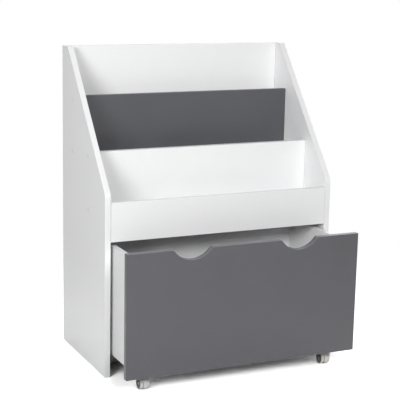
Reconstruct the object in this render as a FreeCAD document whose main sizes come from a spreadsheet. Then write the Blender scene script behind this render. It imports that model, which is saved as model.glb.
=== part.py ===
import FreeCAD, Part
import math
import os
import re

import Sketcher

# Children's bookshelf: two sloping sides carry three stepped tiers, and a drawer on four twin-wheel casters
# rolls in below them. Millimetres, +X to the right, +Y to the back, +Z up. The origin is on the floor, under the
# middle of the whole part as it stands, with its drawer part of the way out.
SIZES = {
    # Carcass: sides, back and the boards between them
    "carcass_width": 630,
    "carcass_depth": 325,
    "carcass_height": 800,
    "board": 15,
    "edge_round": 0.8,
    "knee_height": 466,
    "knee_radius": 28,
    "side_top_depth": 45,
    "back_inset": 8,
    "back_lip": 20,
    "thin_back": 5,
    "thin_back_above_floor": 15,
    "groove_depth": 6,
    "groove_gap": 0.15,
    # Tiers: how far each front stands behind the front of the sides, where its upper edge is, for the upper two as
    # a share of the rise from the knee to the top, and how deep its pocket is
    "top_front_setback": 235,
    "top_front_share": 0.636,
    "top_pocket": 38,
    "middle_front_setback": 115,
    "middle_front_share": 0.259,
    "middle_pocket": 28.5,
    "lower_front_height": 445,
    "lower_front_drop": 98,
    "lower_pocket": 53,
    # Connector screws through the sides and their cover caps
    "screw_below_top": 9,
    "screw_above_foot": 13,
    "screw_shank": 4.8,
    "screw_length": 42,
    "screw_head": 9.4,
    "screw_head_height": 4,
    "screw_gap": 0.1,
    "cap_diameter": 13,
    "cap_thickness": 0.5,
    # Cam bolts, cam discs and dowels
    "cam_bolt": 6,
    "cam_thread": 5,
    "cam_thread_length": 10.5,
    "cam_reach": 24,
    "cam_disc": 14.8,
    "cam_disc_depth": 11,
    "cam_gap": 0.1,
    "cam_bolt_play": 0.3,
    "dowel": 8,
    "dowel_length": 28,
    "dowel_in_face": 10.5,
    "dowel_gap": 0.1,
    "lower_front_cam_up": 15,
    "lower_front_dowel_down": 25,
    "back_cam_margin": 40,
    "floor_dowel_margin": 12,
    # Drawer: overlay front and box of thinner boards
    "drawer_pull": 132.5,
    "drawer_front_bottom": 43,
    "drawer_front_height": 311,
    "drawer_board": 12,
    "drawer_side_gap": 9,
    "drawer_box_bottom": 54,
    "drawer_box_height": 281,
    "drawer_box_depth": 290,
    "notch_offset": 145,
    "notch_radius": 60,
    "notch_depth": 27,
    "notch_shoulder_radius": 8,
    "drawer_front_round": 1.2,
    "drawer_cam_margin": 55,
    "drawer_cam_disc_depth": 9,
    "wood_screw_shank": 3.6,
    "wood_screw_length": 36,
    "wood_screw_head": 7,
    "wood_screw_head_height": 2.4,
    "wood_screw_margin": 45,
    # Casters
    "caster_side_inset": 38,
    "caster_end_inset": 43,
    "caster_trail": 12,
    "plate_side": 38,
    "plate_thickness": 2.5,
    "plate_corner": 5,
    "plate_hole_inset": 5,
    "plate_screw_shank": 3.4,
    "plate_screw_head": 6.4,
    "plate_screw_head_height": 2,
    "plate_screw_length": 9.5,
    "plate_screw_gap": 0.1,
    "pin_diameter": 8,
    "pin_length": 11,
    "swivel_gap": 0.06,
    "boss_diameter": 20,
    "boss_below_plate": 0.4,
    "wheel_diameter": 30,
    "wheel_width": 8,
    "wheel_shoulder": 1.6,
    "hub_diameter": 9,
    "hub_recess": 2.5,
    "rim_wall": 1.6,
    "web_width": 8,
    "web_above_floor": 5,
    "wheel_side_gap": 0.3,
    "fender_gap": 1.4,
    "fender_wall": 1.8,
    "fender_overhang": 0.4,
    "fender_above_axle": 8,
    "axle_diameter": 5,
    "axle_gap": 0.05,
    "axle_end_inset": 0.6,
    # Cuts run past the face that they leave by this much
    "overrun": 2,
}

doc = FreeCAD.newDocument("bookshelf")
sheet = doc.addObject("Spreadsheet::Sheet", "sizes")
for row, (alias, size) in enumerate(SIZES.items(), 1):
    sheet.set(f"A{row}", alias)
    sheet.set(f"B{row}", str(size))
    sheet.setAlias(f"B{row}", alias)
doc.recompute()

sub_parts = []


def cells(text):
    """The expression with each size written as its cell."""
    return re.sub(r"[a-z_]+", lambda word: "sizes." + word.group() if word.group() in SIZES else word.group(), text)


def bind(thing, prop, text):
    thing.setExpression(prop, cells(text))


# Planes and lines that several pieces share
SIDE_OUT = "(carcass_width / 2)"
SIDE_IN = "(carcass_width / 2 - board)"
FRONT = "((drawer_pull + board - carcass_depth) / 2)"
REAR = f"({FRONT} + carcass_depth)"
BACK_REAR = f"({REAR} - back_inset)"
BACK_FRONT = f"({BACK_REAR} - board)"
TOP_FRONT = f"({FRONT} + top_front_setback)"
MIDDLE_FRONT = f"({FRONT} + middle_front_setback)"
SLOPE_RISE = "(carcass_height - knee_height)"
TOP_FRONT_EDGE = f"(knee_height + {SLOPE_RISE} * top_front_share)"
MIDDLE_FRONT_EDGE = f"(knee_height + {SLOPE_RISE} * middle_front_share)"
TOP_FLOOR = f"({TOP_FRONT_EDGE} - top_pocket)"
MIDDLE_FLOOR = f"({MIDDLE_FRONT_EDGE} - middle_pocket)"
LOWER_FLOOR = "(lower_front_height - lower_pocket)"
LOWER_FRONT_FOOT = "(lower_front_height - lower_front_drop)"
BACK_FOOT = f"({TOP_FLOOR} - board - back_lip)"
DRAWER_FACE = f"({FRONT} - drawer_pull - board)"
BOX_FRONT = f"({FRONT} - drawer_pull)"
BOX_REAR = f"({BOX_FRONT} + drawer_box_depth)"
BOX_OUT = f"({SIDE_IN} - drawer_side_gap)"
BOX_IN = f"({BOX_OUT} - drawer_board)"
BOX_TOP = "(drawer_box_bottom + drawer_box_height)"
BOX_FLOOR = "(drawer_box_bottom + drawer_board)"

PLANES = {"X": "YZ_Plane", "Y": "XZ_Plane", "Z": "XY_Plane"}
AIM = {
    "+X": FreeCAD.Rotation(FreeCAD.Vector(0, 1, 0), 90),
    "-X": FreeCAD.Rotation(FreeCAD.Vector(0, 1, 0), -90),
    "+Y": FreeCAD.Rotation(FreeCAD.Vector(1, 0, 0), -90),
    "-Y": FreeCAD.Rotation(FreeCAD.Vector(1, 0, 0), 90),
    "+Z": FreeCAD.Rotation(),
    "-Z": FreeCAD.Rotation(FreeCAD.Vector(1, 0, 0), 180),
}
SIDES = {"left": -1, "right": 1}
SAME = 1e-6


def new_body(label):
    body = doc.addObject("PartDesign::Body", label)
    body.Label = label
    sub_parts.append(body)
    return body


def sketch_across(body, axis, level):
    """An empty sketch square to an axis, at a level along it."""
    plane = next(feature for feature in body.Origin.OriginFeatures if feature.Role == PLANES[axis])
    sketch = body.newObject("Sketcher::SketchObject", body.Label + "_sketch")
    sketch.AttachmentSupport = [(plane, "")]
    sketch.MapMode = "FlatFace"
    away = "-" if axis == "Y" else ""
    bind(sketch, "AttachmentOffset.Base.z", f"{away}({level})")
    return sketch


def hold(sketch, geometry, point, place, name):
    """Ties a point of the sketch to its place, across and up from the sketch's origin."""
    for kind, text in zip(("DistanceX", "DistanceY"), place):
        number = sketch.addConstraint(Sketcher.Constraint(kind, -1, 1, geometry, point, 1.0))
        sketch.renameConstraint(number, name + kind)
        bind(sketch, "Constraints." + name + kind, text)


def outline(sketch, corners):
    """A closed outline of straight lines through its corners."""
    count = len(corners)
    turn = 2 * math.pi / count
    start = [FreeCAD.Vector(math.cos(turn * i), math.sin(turn * i), 0) for i in range(count)]
    for i in range(count):
        sketch.addGeometry(Part.LineSegment(start[i], start[(i + 1) % count]), False)
    for i in range(count):
        sketch.addConstraint(Sketcher.Constraint("Coincident", i, 2, (i + 1) % count, 1))
    for i, corner in enumerate(corners):
        hold(sketch, i, 1, corner, f"corner{i}")


def circles(sketch, centres, diameter):
    for centre in centres:
        count = sketch.GeometryCount
        ring = sketch.addGeometry(Part.Circle(FreeCAD.Vector(count, count, 0), FreeCAD.Vector(0, 0, 1), 1.0), False)
        number = sketch.addConstraint(Sketcher.Constraint("Diameter", ring, 1.0))
        sketch.renameConstraint(number, f"across{ring}")
        bind(sketch, f"Constraints.across{ring}", diameter)
        hold(sketch, ring, 3, centre, f"centre{ring}")


def pad(body, sketch, length, towards):
    feature = body.newObject("PartDesign::Pad", body.Label + "_pad")
    feature.Profile = sketch
    feature.Reversed = towards in ("-X", "+Y", "-Z")
    bind(feature, "Length", length)
    return feature


def pocket(body, sketch, length, towards):
    feature = body.newObject("PartDesign::Pocket", body.Label + "_pocket")
    feature.Profile = sketch
    feature.Reversed = towards in ("+X", "-Y", "+Z")
    bind(feature, "Length", length)
    return feature


def round_edges(body, radius, edges=None):
    """Rounds the named edges of the body so far, or all of them."""
    doc.recompute()
    base = body.Tip
    feature = body.newObject("PartDesign::Fillet", body.Label + "_round")
    feature.Base = (base, edges or ["Edge1"])
    feature.UseAllEdges = edges is None
    bind(feature, "Radius", radius)


def same(place, other):
    return abs(place - other) < SAME


def within(place, low, high):
    return low + SAME < place < high - SAME


def edges_where(body, test):
    """Names of the edges of the body so far whose middle passes a test."""
    doc.recompute()
    shape = body.Tip.Shape
    return [f"Edge{i}" for i, edge in enumerate(shape.Edges, 1) if test(edge.CenterOfMass, shape.BoundBox)]


def block(label, x, y, z):
    """A board with rounded edges between two places on each axis."""
    body = new_body(label)
    sketch = sketch_across(body, "Z", z[0])
    outline(sketch, [(x[0], y[0]), (x[1], y[0]), (x[1], y[1]), (x[0], y[1])])
    pad(body, sketch, f"({z[1]}) - ({z[0]})", "+Z")
    round_edges(body, "edge_round")
    return body


def bore(body, towards, level, centres, diameter, depth):
    """Round holes from a level along an axis, all of one diameter and depth."""
    sketch = sketch_across(body, towards[1], level)
    circles(sketch, centres, diameter)
    pocket(body, sketch, depth, towards)


def rod(name, towards, start, diameter, length):
    """A plain cylinder that starts at a point and runs along an axis."""
    cylinder = doc.addObject("Part::Cylinder", name)
    cylinder.Placement = FreeCAD.Placement(FreeCAD.Vector(), AIM[towards])
    bind(cylinder, "Radius", f"({diameter}) / 2")
    bind(cylinder, "Height", length)
    for axis, text in zip("xyz", start):
        bind(cylinder, f"Placement.Base.{axis}", text)
    return cylinder


def joined(name, first, second):
    fuse = doc.addObject("Part::Fuse", name)
    fuse.Base = first
    fuse.Tool = second
    return fuse


def group(label, members):
    """Like pieces that share one node."""
    compound = doc.addObject("Part::Compound", label)
    compound.Label = label
    compound.Links = members
    sub_parts.append(compound)


def along(start, towards, distance):
    """The point at a distance from another along an axis."""
    place = list(start)
    index = "XYZ".index(towards[1])
    place[index] = f"({start[index]} {towards[0]} ({distance}))"
    return place


def across(point, axis):
    """A point as a sketch square to an axis reads it."""
    return tuple(text for text, name in zip(point, "XYZ") if name != axis)


# Side panels: upright front edge, knee, slope up to a narrow top
side_panels = {}
for side, sign in SIDES.items():
    panel = new_body(f"{side}_side_panel")
    profile = sketch_across(panel, "X", f"{sign} * {SIDE_IN}")
    outline(profile, [
        (FRONT, "0"),
        (REAR, "0"),
        (REAR, "carcass_height"),
        (f"({REAR} - side_top_depth)", "carcass_height"),
        (FRONT, "knee_height"),
    ])
    pad(panel, profile, "board", "+X" if sign > 0 else "-X")
    knee = edges_where(panel, lambda at, box: same(at.y, box.YMin) and within(at.z, box.ZMin, box.ZMax)
                       and within(at.x, box.XMin, box.XMax))
    round_edges(panel, "knee_radius", knee)
    round_edges(panel, "edge_round")
    side_panels[side] = panel

# Boards between the sides
between = (f"-{SIDE_IN}", SIDE_IN)
top_front = block("top_tier_front", between, (TOP_FRONT, f"{TOP_FRONT} + board"), (MIDDLE_FLOOR, TOP_FRONT_EDGE))
middle_front = block("middle_tier_front", between, (MIDDLE_FRONT, f"{MIDDLE_FRONT} + board"),
                     (LOWER_FLOOR, MIDDLE_FRONT_EDGE))
lower_front = block("lower_tier_front", between, (FRONT, f"{FRONT} + board"), (LOWER_FRONT_FOOT, "lower_front_height"))
floors = {
    "top_tier_floor": (f"({TOP_FRONT} + board)", BACK_FRONT, TOP_FLOOR),
    "middle_tier_floor": (f"({MIDDLE_FRONT} + board)", f"({TOP_FRONT} + board)", MIDDLE_FLOOR),
    "lower_tier_floor": (f"({FRONT} + board)", f"({MIDDLE_FRONT} + board)", LOWER_FLOOR),
}
floor_boards = {}
for label, (near, far, level) in floors.items():
    floor_boards[label] = block(label, between, (near, far), (f"{level} - board", level))
back_panel = block("back_panel", between, (BACK_FRONT, BACK_REAR), (BACK_FOOT, "carcass_height"))

# Thin panel behind the drawer, held in grooves of the sides and of the back panel's lower edge
THIN_MIDDLE = f"({BACK_FRONT} + board / 2)"
GROOVE_WIDTH = "(thin_back + 2 * groove_gap)"
thin_reach = f"({SIDE_IN} + groove_depth - groove_gap)"
thin_panel = new_body("lower_back_panel")
thin_profile = sketch_across(thin_panel, "Z", "thin_back_above_floor")
outline(thin_profile, [
    (f"-{thin_reach}", f"{THIN_MIDDLE} - thin_back / 2"),
    (thin_reach, f"{THIN_MIDDLE} - thin_back / 2"),
    (thin_reach, f"{THIN_MIDDLE} + thin_back / 2"),
    (f"-{thin_reach}", f"{THIN_MIDDLE} + thin_back / 2"),
])
pad(thin_panel, thin_profile, f"{BACK_FOOT} + groove_depth - groove_gap - thin_back_above_floor", "+Z")


def groove(body, x, y, level, length, towards):
    sketch = sketch_across(body, towards[1], level)
    outline(sketch, [(x[0], y[0]), (x[1], y[0]), (x[1], y[1]), (x[0], y[1])])
    pocket(body, sketch, length, towards)


groove_sides = (f"{THIN_MIDDLE} - {GROOVE_WIDTH} / 2", f"{THIN_MIDDLE} + {GROOVE_WIDTH} / 2")
groove(back_panel, (f"-{SIDE_IN} - overrun", f"{SIDE_IN} + overrun"), groove_sides,
       f"{BACK_FOOT} - overrun", "groove_depth + overrun", "+Z")
for side, sign in SIDES.items():
    groove(side_panels[side], (f"{sign} * ({SIDE_IN} - overrun)", f"{sign} * ({SIDE_IN} + groove_depth)"),
           groove_sides, "-overrun", f"{BACK_FOOT} + groove_depth + overrun", "+Z")

# Connector screws: through the sides into the ends of the two upper tier fronts, two to an end, under cover caps
screw_places = [
    (f"({TOP_FRONT} + board / 2)", f"({TOP_FRONT_EDGE} - screw_below_top)"),
    (f"({TOP_FRONT} + board / 2)", f"({MIDDLE_FLOOR} + screw_above_foot)"),
    (f"({MIDDLE_FRONT} + board / 2)", f"({MIDDLE_FRONT_EDGE} - screw_below_top)"),
    (f"({MIDDLE_FRONT} + board / 2)", f"({LOWER_FLOOR} + screw_above_foot)"),
]
SCREW_BORE = "screw_shank + 2 * screw_gap"
SCREW_SEAT = "screw_head + 2 * screw_gap"
for side, sign in SIDES.items():
    inward = "-X" if sign > 0 else "+X"
    face = f"{sign} * {SIDE_OUT}"
    screws = []
    caps = []
    for i, (y, z) in enumerate(screw_places):
        start = (face, y, z)
        head = rod(f"{side}_screw_head", inward, start, "screw_head", "screw_head_height")
        shank = rod(f"{side}_screw_shank", inward, start, "screw_shank", "screw_length")
        screws.append(joined(f"{side}_screw", head, shank))
        caps.append(rod(f"{side}_cap", "+X" if sign > 0 else "-X", start, "cap_diameter", "cap_thickness"))
    group(f"{side}_side_screws", screws)
    group(f"{side}_screw_caps", caps)
    bore(side_panels[side], inward, face, screw_places, SCREW_BORE, "board + overrun")
    bore(side_panels[side], inward, face, screw_places, SCREW_SEAT, "screw_head_height + screw_gap")
    for board, places in ((top_front, screw_places[:2]), (middle_front, screw_places[2:])):
        bore(board, inward, face, places, SCREW_BORE, "screw_length + screw_gap")

# Cam bolts with cam discs, and dowels, for the boards whose screws don't show
cam_bolts = []
cam_discs = []
dowels = []


def cam_joint(store, host, board, seat, into, disc_towards, disc_level, disc_depth):
    """A bolt from a point on the host's face into a board's end, and the disc in the board that draws it tight.

    The seat is the point where the bolt's middle line crosses the joint, and into the way into the board.
    """
    bolts, discs = store
    out = ("-" if into[0] == "+" else "+") + into[1]
    thread = rod("cam_thread", out, seat, "cam_thread", "cam_thread_length")
    shank = rod("cam_shank", into, seat, "cam_bolt", "cam_reach")
    bolts.append(joined("cam_bolt_piece", thread, shank))
    bore(host, out, seat["XYZ".index(into[1])], [across(seat, into[1])], "cam_thread + 2 * cam_gap",
         "cam_thread_length + cam_gap")
    bore(board, into, seat["XYZ".index(into[1])], [across(seat, into[1])], "cam_bolt + 2 * cam_bolt_play",
         "cam_reach + cam_bolt_play")
    middle = along(seat, into, "cam_reach")
    middle["XYZ".index(disc_towards[1])] = disc_level
    disc = rod("cam_disc_round", disc_towards, middle, "cam_disc", disc_depth)
    eye = rod("cam_disc_eye", into, seat, "cam_bolt + 2 * cam_bolt_play", "cam_reach + cam_bolt_play")
    cut = doc.addObject("Part::Cut", "cam_disc_piece")
    cut.Base = disc
    cut.Tool = eye
    discs.append(cut)
    bore(board, disc_towards, disc_level, [across(middle, disc_towards[1])], "cam_disc + 2 * cam_gap",
         f"{disc_depth} + cam_gap")


def dowel_joint(store, host, board, seat, into):
    """A dowel across the joint between a host's face and a board's end."""
    out = ("-" if into[0] == "+" else "+") + into[1]
    level = seat["XYZ".index(into[1])]
    store.append(rod("dowel_piece", into, along(seat, out, "dowel_in_face"), "dowel", "dowel_length"))
    centre = [across(seat, into[1])]
    bore(host, out, level, centre, "dowel + 2 * dowel_gap", "dowel_in_face + dowel_gap")
    bore(board, into, level, centre, "dowel + 2 * dowel_gap", "dowel_length - dowel_in_face + dowel_gap")


for side, sign in SIDES.items():
    panel = side_panels[side]
    into = "-X" if sign > 0 else "+X"
    face = f"{sign} * {SIDE_IN}"
    for label, (near, far, level) in floors.items():
        middle = f"(({near} + {far}) / 2)"
        deep = f"({level} - board / 2)"
        cam_joint((cam_bolts, cam_discs), panel, floor_boards[label], (face, middle, deep), into,
                  "+Z", f"({level} - board)", "cam_disc_depth")
        for y in (f"({near} + floor_dowel_margin)", f"({far} - floor_dowel_margin)"):
            dowel_joint(dowels, panel, floor_boards[label], (face, y, deep), into)
    cam_joint((cam_bolts, cam_discs), panel, lower_front,
              (face, f"({FRONT} + board / 2)", f"({LOWER_FRONT_FOOT} + lower_front_cam_up)"), into,
              "-Y", f"({FRONT} + board)", "cam_disc_depth")
    dowel_joint(dowels, panel, lower_front,
                (face, f"({FRONT} + board / 2)", "(lower_front_height - lower_front_dowel_down)"), into)
    for z in (f"({BACK_FOOT} + back_cam_margin)", "(carcass_height - back_cam_margin)"):
        cam_joint((cam_bolts, cam_discs), panel, back_panel, (face, THIN_MIDDLE, z), into,
                  "-Y", BACK_REAR, "cam_disc_depth")
    dowel_joint(dowels, panel, back_panel, (face, THIN_MIDDLE, f"(({BACK_FOOT} + carcass_height) / 2)"), into)
group("cam_bolts", cam_bolts)
group("cam_discs", cam_discs)
group("carcass_dowels", dowels)

# Drawer front: overlay board with two hand notches, arcs of a circle, in its upper edge
drawer_front = new_body("drawer_front")
front_profile = sketch_across(drawer_front, "Y", DRAWER_FACE)
FRONT_TOP = "(drawer_front_bottom + drawer_front_height)"
outline(front_profile, [
    (f"-{SIDE_OUT}", "drawer_front_bottom"),
    (SIDE_OUT, "drawer_front_bottom"),
    (SIDE_OUT, FRONT_TOP),
    (f"-{SIDE_OUT}", FRONT_TOP),
])
pad(drawer_front, front_profile, "board", "+Y")
for sign in SIDES.values():
    notch = sketch_across(drawer_front, "Y", DRAWER_FACE)
    circles(notch, [(f"{sign} * notch_offset", f"{FRONT_TOP} - notch_depth + notch_radius")], "2 * notch_radius")
    pocket(drawer_front, notch, "board + overrun", "+Y")


def runs_through(at, box):
    """True of an edge that runs from the front to the rear of a board, away from its ends."""
    return same(at.y, box.Center.y) and within(at.x, box.XMin, box.XMax)


shoulders = edges_where(drawer_front, lambda at, box: runs_through(at, box) and same(at.z, box.ZMax))
round_edges(drawer_front, "notch_shoulder_radius", shoulders)
round_edges(drawer_front, "drawer_front_round")

# Drawer box
box_height = ("drawer_box_bottom", BOX_TOP)
drawer_sides = {}
for side, sign in SIDES.items():
    reach = (f"{sign} * {BOX_OUT}", f"{sign} * {BOX_IN}")
    drawer_sides[side] = block(f"drawer_{side}_side", reach, (BOX_FRONT, BOX_REAR), box_height)
box_width = (f"-{BOX_IN}", BOX_IN)
drawer_back = block("drawer_back", box_width, (f"{BOX_REAR} - drawer_board", BOX_REAR), box_height)
drawer_bottom = block("drawer_bottom", box_width, (BOX_FRONT, f"{BOX_REAR} - drawer_board"),
                      ("drawer_box_bottom", BOX_FLOOR))

# Cam bolts and dowels that hold the drawer front on the ends of the drawer sides
drawer_bolts = []
drawer_discs = []
drawer_dowels = []
for side, sign in SIDES.items():
    middle = f"({sign} * ({BOX_OUT} - drawer_board / 2))"
    for z in ("(drawer_box_bottom + drawer_cam_margin)", f"({BOX_TOP} - drawer_cam_margin)"):
        cam_joint((drawer_bolts, drawer_discs), drawer_front, drawer_sides[side], (middle, BOX_FRONT, z), "+Y",
                  "+X" if sign > 0 else "-X", f"({sign} * {BOX_IN})", "drawer_cam_disc_depth")
    dowel_joint(drawer_dowels, drawer_front, drawer_sides[side],
                (middle, BOX_FRONT, "(drawer_box_bottom + drawer_box_height / 2)"), "+Y")
group("drawer_cam_bolts", drawer_bolts)
group("drawer_cam_discs", drawer_discs)
group("drawer_dowels", drawer_dowels)

# Wood screws through the drawer sides into the ends of the back and the edges of the bottom
WOOD_BORE = "wood_screw_shank + 2 * screw_gap"
WOOD_SEAT = "wood_screw_head + 2 * screw_gap"
BACK_MIDDLE = f"({BOX_REAR} - drawer_board / 2)"
FLOOR_MIDDLE = "(drawer_box_bottom + drawer_board / 2)"
back_screw_places = [
    (BACK_MIDDLE, f"({BOX_FLOOR} + wood_screw_margin)"),
    (BACK_MIDDLE, f"({BOX_TOP} - wood_screw_margin)"),
]
bottom_screw_places = [
    (f"({BOX_FRONT} + drawer_box_depth / 2)", FLOOR_MIDDLE),
    (f"({BOX_REAR} - wood_screw_margin)", FLOOR_MIDDLE),
]
wood_screws = []
for side, sign in SIDES.items():
    inward = "-X" if sign > 0 else "+X"
    face = f"{sign} * {BOX_OUT}"
    places = back_screw_places + bottom_screw_places
    for y, z in places:
        head = rod("wood_screw_head", inward, (face, y, z), "wood_screw_head", "wood_screw_head_height")
        shank = rod("wood_screw_shank", inward, (face, y, z), "wood_screw_shank", "wood_screw_length")
        wood_screws.append(joined("wood_screw", head, shank))
    bore(drawer_sides[side], inward, face, places, WOOD_BORE, "drawer_board + overrun")
    bore(drawer_sides[side], inward, face, places, WOOD_SEAT, "wood_screw_head_height + screw_gap")
    bore(drawer_back, inward, face, back_screw_places, WOOD_BORE, "wood_screw_length + screw_gap")
    bore(drawer_bottom, inward, face, bottom_screw_places, WOOD_BORE, "wood_screw_length + screw_gap")
group("drawer_screws", wood_screws)

# Casters: a plate with its swivel pin, a hood that turns on the pin, an axle and two wheels
CASTER_X = f"({BOX_OUT} - caster_side_inset)"
casters = {
    "front_left": (f"(-{CASTER_X})", f"({BOX_FRONT} + caster_end_inset)"),
    "front_right": (CASTER_X, f"({BOX_FRONT} + caster_end_inset)"),
    "rear_left": (f"(-{CASTER_X})", f"({BOX_REAR} - caster_end_inset)"),
    "rear_right": (CASTER_X, f"({BOX_REAR} - caster_end_inset)"),
}
PLATE_FOOT = "(drawer_box_bottom - plate_thickness)"
WHEEL_RADIUS = "(wheel_diameter / 2)"
FENDER_IN = f"({WHEEL_RADIUS} + fender_gap)"
FENDER_OUT = f"({FENDER_IN} + fender_wall)"
FENDER_HALF = "(web_width / 2 + wheel_side_gap + wheel_width + fender_overhang)"
BOSS_TOP = f"({PLATE_FOOT} - boss_below_plate)"
AXLE_HALF = "(web_width / 2 + wheel_side_gap + wheel_width - axle_end_inset)"
FENDER_FOOT = f"({WHEEL_RADIUS} + fender_above_axle)"
HOLE_AT = "(plate_side / 2 - plate_hole_inset)"


def caster_plate(name, x, y):
    plate = new_body(f"{name}_caster_plate")
    profile = sketch_across(plate, "Z", PLATE_FOOT)
    half = "plate_side / 2"
    outline(profile, [
        (f"{x} - {half}", f"{y} - {half}"),
        (f"{x} + {half}", f"{y} - {half}"),
        (f"{x} + {half}", f"{y} + {half}"),
        (f"{x} - {half}", f"{y} + {half}"),
    ])
    pad(plate, profile, "plate_thickness", "+Z")
    upright = edges_where(plate, lambda at, box: within(at.z, box.ZMin, box.ZMax))
    round_edges(plate, "plate_corner", upright)
    pin = sketch_across(plate, "Z", PLATE_FOOT)
    circles(pin, [(x, y)], "pin_diameter")
    pad(plate, pin, "pin_length", "-Z")
    bore(plate, "-Z", "drawer_box_bottom", plate_holes(x, y), "plate_screw_shank + 2 * plate_screw_gap",
         "plate_thickness + overrun")


def plate_holes(x, y):
    return [(f"({x} {a} {HOLE_AT})", f"({y} {b} {HOLE_AT})") for a in "+-" for b in "+-"]


def caster_hood(name, x, y, axle_y):
    """Fender over both wheels, a web between them that holds the axle, and a boss that turns on the pin."""
    hood = new_body(f"{name}_caster_hood")
    shell = sketch_across(hood, "X", f"{x} - {FENDER_HALF}")
    circles(shell, [(axle_y, WHEEL_RADIUS)], f"2 * {FENDER_OUT}")
    pad(hood, shell, f"2 * {FENDER_HALF}", "+X")
    boss = sketch_across(hood, "Z", FENDER_FOOT)
    circles(boss, [(x, y)], "boss_diameter")
    pad(hood, boss, f"{BOSS_TOP} - {FENDER_FOOT}", "+Z")
    reach = f"({FENDER_OUT} + overrun)"
    ends = (f"{axle_y} - {reach}", f"{axle_y} + {reach}")
    foot = f"{WHEEL_RADIUS} - {reach}"
    for sign in SIDES.values():
        outward = "+X" if sign > 0 else "-X"
        web_face = f"{x} + {sign} * web_width / 2"
        room = sketch_across(hood, "X", web_face)
        circles(room, [(axle_y, WHEEL_RADIUS)], f"2 * {FENDER_IN}")
        pocket(hood, room, f"{FENDER_HALF} + overrun", outward)
        groove(hood, ends, (foot, FENDER_FOOT), web_face, f"{FENDER_HALF} + overrun", outward)
    groove(hood, ends, (foot, "web_above_floor"), f"{x} - {FENDER_HALF}", f"2 * {FENDER_HALF}", "+X")
    bore(hood, "-Z", BOSS_TOP, [(x, y)], "pin_diameter + 2 * swivel_gap", "pin_length")
    bore(hood, "+X", f"{x} - web_width / 2 - overrun", [(axle_y, WHEEL_RADIUS)], "axle_diameter",
         "web_width + 2 * overrun")


def caster_wheel(name, x, axle_y, sign):
    """Wheel with rounded shoulders, a dished outer face and a hub that runs on the axle."""
    wheel = new_body(name)
    outward = "+X" if sign > 0 else "-X"
    inner = f"{x} + {sign} * (web_width / 2 + wheel_side_gap)"
    outer = f"{x} + {sign} * (web_width / 2 + wheel_side_gap + wheel_width)"
    centre = [(axle_y, WHEEL_RADIUS)]
    tread = sketch_across(wheel, "X", inner)
    circles(tread, centre, "wheel_diameter")
    pad(wheel, tread, "wheel_width", outward)
    round_edges(wheel, "wheel_shoulder")
    dish = sketch_across(wheel, "X", outer)
    circles(dish, centre, "wheel_diameter - 2 * (wheel_shoulder + rim_wall)")
    circles(dish, centre, "hub_diameter")
    pocket(wheel, dish, "hub_recess", "-X" if sign > 0 else "+X")
    bore(wheel, outward, inner, centre, "axle_diameter + 2 * axle_gap", "wheel_width + overrun")


plate_screws = []
for name, (x, y) in casters.items():
    axle_y = f"({y} - caster_trail)"
    caster_plate(name, x, y)
    caster_hood(name, x, y, axle_y)
    axle = rod(f"{name}_caster_axle", "+X", (f"{x} - {AXLE_HALF}", axle_y, WHEEL_RADIUS), "axle_diameter",
               f"2 * {AXLE_HALF}")
    axle.Label = f"{name}_caster_axle"
    sub_parts.append(axle)
    for side, sign in SIDES.items():
        caster_wheel(f"{name}_caster_{side}_wheel", x, axle_y, sign)
    holes = plate_holes(x, y)
    for hole in holes:
        head_foot = (*hole, f"({PLATE_FOOT} - plate_screw_head_height)")
        head = rod("plate_screw_head", "+Z", head_foot, "plate_screw_head", "plate_screw_head_height")
        shank = rod("plate_screw_shank", "+Z", (*hole, PLATE_FOOT), "plate_screw_shank", "plate_screw_length")
        plate_screws.append(joined("plate_screw", head, shank))
    bore(drawer_bottom, "+Z", "drawer_box_bottom", holes, "plate_screw_shank + 2 * plate_screw_gap",
         "plate_screw_length - plate_thickness + plate_screw_gap")
group("caster_plate_screws", plate_screws)

# Every sub-part is rebuilt, tested and written
doc.recompute()
for thing in doc.Objects:
    if "Invalid" in thing.State or "Error" in thing.State:
        raise RuntimeError(f"{thing.Label}: {thing.State}")
    if thing.isDerivedFrom("PartDesign::Pocket"):
        before = thing.BaseFeature.Shape.Volume
        if before - thing.Shape.Volume <= SAME:
            raise RuntimeError(f"{thing.Label} removes nothing")
os.makedirs("parts", exist_ok=True)
for piece in sub_parts:
    shape = piece.Shape
    if shape.isNull() or not shape.isValid() or not shape.Solids:
        raise RuntimeError(f"{piece.Label} has no valid solid")
    shape.exportStep(f"parts/{piece.Label}.step")
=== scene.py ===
import math

import bmesh
import bpy
from mathutils import Matrix, Vector


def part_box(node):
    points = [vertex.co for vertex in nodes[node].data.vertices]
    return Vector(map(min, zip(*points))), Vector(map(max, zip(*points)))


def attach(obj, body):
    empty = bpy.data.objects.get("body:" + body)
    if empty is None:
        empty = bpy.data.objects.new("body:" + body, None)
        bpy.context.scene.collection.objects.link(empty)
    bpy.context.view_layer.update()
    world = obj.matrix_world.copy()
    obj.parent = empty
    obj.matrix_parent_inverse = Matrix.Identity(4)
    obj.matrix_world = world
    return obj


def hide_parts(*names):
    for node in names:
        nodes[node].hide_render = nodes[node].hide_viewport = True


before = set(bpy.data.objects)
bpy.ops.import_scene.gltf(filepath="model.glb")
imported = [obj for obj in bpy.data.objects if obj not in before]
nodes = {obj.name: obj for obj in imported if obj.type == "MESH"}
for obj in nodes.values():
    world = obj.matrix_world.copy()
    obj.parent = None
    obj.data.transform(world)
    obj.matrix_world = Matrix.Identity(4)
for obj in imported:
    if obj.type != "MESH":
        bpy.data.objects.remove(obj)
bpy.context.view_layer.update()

# Side panels: 15 mm particle board, faced on both sides with satin white melamine foil and edged with white band.
# Each stands on the floor and slopes back from a rounded knee to a narrow top.
MM = 0.001
WHITE = (0.86, 0.862, 0.866, 1)
WHITE_EDGE = (0.8, 0.8, 0.8, 1)
SATIN = (0.34, 0.46)
FOIL_RELIEF = 0.4 * MM
NOISE_LOW, NOISE_HIGH = 0.3, 0.7
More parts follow.
